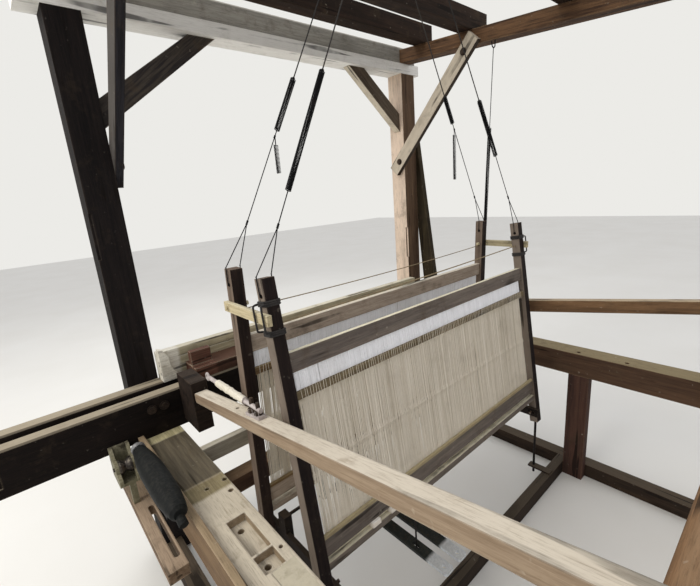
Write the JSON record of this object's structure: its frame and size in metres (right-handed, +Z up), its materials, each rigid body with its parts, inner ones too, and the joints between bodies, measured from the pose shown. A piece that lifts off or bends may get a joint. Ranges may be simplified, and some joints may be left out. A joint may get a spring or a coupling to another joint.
{
  "type": "timber-framed power loom",
  "caption": "Old timber-framed power loom without its warp: four-post frame, overhead timbers, a hung pair of string heald frames with springs and cords, treadle levers and a side motor.",
  "frame": {"origin": "centre of the overall box on the floor", "axes": "+X across the loom towards its right side, +Y along the warp towards the rear posts and the grooved cross-beam, +Z up"},
  "size_m": [2.09, 1.725, 2.3049],
  "materials": {
    "dark_timber": "old, nearly black, dusty",
    "brown_timber": "old brown, worn edges",
    "tan_timber": "weathered tan",
    "grey_timber": "weathered grey",
    "pale_timber": "pale, rubbed",
    "heald_timber": "dark, oiled by handling",
    "stained_rod": "olive brown stained",
    "string": "undyed cotton twine, dusty",
    "dark_cord": "dark waxed cord",
    "khaki_casting": "worn khaki paint",
    "black_paint": "black semi-gloss, dusty",
    "steel": "bare, lightly rusted",
    "dark_iron": "rusted dark brown",
    "plate_grey": "dull, dusty"
  },
  "bodies": {
    "frame": {"post_rear_left": "dark_timber", "post_rear_right": "tan_timber", "post_front_left": "brown_timber", "post_front_right": "brown_timber", "side_rail_left": "pale_timber", "side_board_left": "tan_timber", "pocket_plate": "plate_grey", "side_rail_right": "brown_timber", "middle_legs": "brown_timber", "sills": "dark_timber", "floor_tie": "dark_timber", "front_tie": "tan_timber", "grey_tie_board": "grey_timber", "dark_tie_timber": "dark_timber", "outrigger": "tan_timber", "cross_board_front": "dark_timber", "cross_board_rear": "dark_timber", "cross_beam_blocks": "dark_timber", "pale_board": "pale_timber", "cap_timber": "dark_timber", "sloping_rail_left": "pale_timber", "sloping_rail_right": "tan_timber", "top_plank": "pale_timber", "top_rear_beam": "grey_timber", "top_side_beams": "brown_timber", "top_cross_timbers": "dark_timber", "roller_bearers": "brown_timber", "roller_blocks": "brown_timber", "knee_braces": "grey_timber", "side_braces": "pale_timber", "prop_right": "dark_timber", "coach_screws": "dark_iron", "rail_stick": "grey_timber", "lever_pivot": "dark_iron", "warp_bearings": "brown_timber", "cast_bracket": "khaki_casting", "motor": "black_paint"},
    "front_heald": {"front_heald_posts": "heald_timber", "front_heald_rails": "heald_timber", "front_heald_rods": "stained_rod", "front_heald_strings": "string", "lashings": "dark_cord", "tie_rods": "dark_iron", "front_harness": "black_paint", "front_pull_rod": "dark_iron"},
    "rear_heald": {"rear_heald_posts": "heald_timber", "rear_heald_rails": "grey_timber", "rear_heald_rods": "stained_rod", "rear_heald_strings": "string", "rear_harness": "black_paint", "slat_spring": "black_paint", "rear_pull_rod": "dark_iron"},
    "slats": {"top_slats": "pale_timber"},
    "links": {"bottom_links": "dark_timber"},
    "roller": {"harness_roller": "tan_timber"},
    "front_treadle": {"front_lever": "steel"},
    "rear_treadle": {"rear_lever": "steel"},
    "warp_roller": {"warp_beam": "brown_timber"},
    "wheel": {"bracket_roller": "dark_iron"},
    "drive_shaft": {"motor_shaft": "steel"}
  },
  "joints": [
    {"name": "front_heald_slide", "type": "slide", "parent": "frame", "child": "front_heald", "axis": [0, 0, 1], "range_m": [-0.03, 0.03], "deforming": ["front_harness"]},
    {"name": "rear_heald_slide", "type": "slide", "parent": "frame", "child": "rear_heald", "axis": [0, 0, 1], "range_m": [-0.03, 0.03], "deforming": ["rear_harness", "slat_spring"]},
    {"name": "slat_hinge", "type": "hinge", "parent": "rear_heald", "child": "slats", "pos_m": [0.1435, 0.22823, 1.092], "axis": [1, 0, 0], "range_deg": [-20.21, 20.21]},
    {"name": "link_hinge", "type": "hinge", "parent": "rear_heald", "child": "links", "pos_m": [0.1435, 0.25278, 0.352], "axis": [1, 0, 0], "range_deg": [-12.1, 12.1]},
    {"name": "roller_hinge", "type": "hinge", "parent": "frame", "child": "roller", "pos_m": [0.1435, 0.14532, 2.255], "axis": [1, 0, 0], "range_deg": [-36.53, 36.53]},
    {"name": "front_treadle_hinge", "type": "hinge", "parent": "frame", "child": "front_treadle", "pos_m": [-0.0565, 0.37, 0.212], "axis": [1, 0, 0], "range_deg": [-4.79, 4.79]},
    {"name": "rear_treadle_hinge", "type": "hinge", "parent": "frame", "child": "rear_treadle", "pos_m": [-0.0565, 0.37, 0.212], "axis": [1, 0, 0], "range_deg": [-15, 15]},
    {"name": "warp_beam_hinge", "type": "hinge", "parent": "frame", "child": "warp_roller", "pos_m": [0, -0.7225, 0.65], "axis": [1, 0, 0], "continuous": true},
    {"name": "wheel_hinge", "type": "hinge", "parent": "frame", "child": "wheel", "pos_m": [-0.715, 0.5535, 0.59], "axis": [1, 0, 0], "continuous": true},
    {"name": "motor_shaft_hinge", "type": "hinge", "parent": "frame", "child": "drive_shaft", "pos_m": [-0.679, 0.3665, 0.66], "axis": [0, 1, 0], "continuous": true}
  ],
  "couplings": [
    {"joint": "rear_heald_slide", "follows": "front_heald_slide", "ratio": -1},
    {"joint": "slat_hinge", "follows": "front_heald_slide", "rad_per_m": -11.425},
    {"joint": "link_hinge", "follows": "front_heald_slide", "rad_per_m": -6.7038},
    {"joint": "roller_hinge", "follows": "front_heald_slide", "rad_per_m": -20.921},
    {"joint": "front_treadle_hinge", "follows": "front_heald_slide", "rad_per_m": -2.4513},
    {"joint": "rear_treadle_hinge", "follows": "front_heald_slide", "rad_per_m": 8.3951}
  ]
}
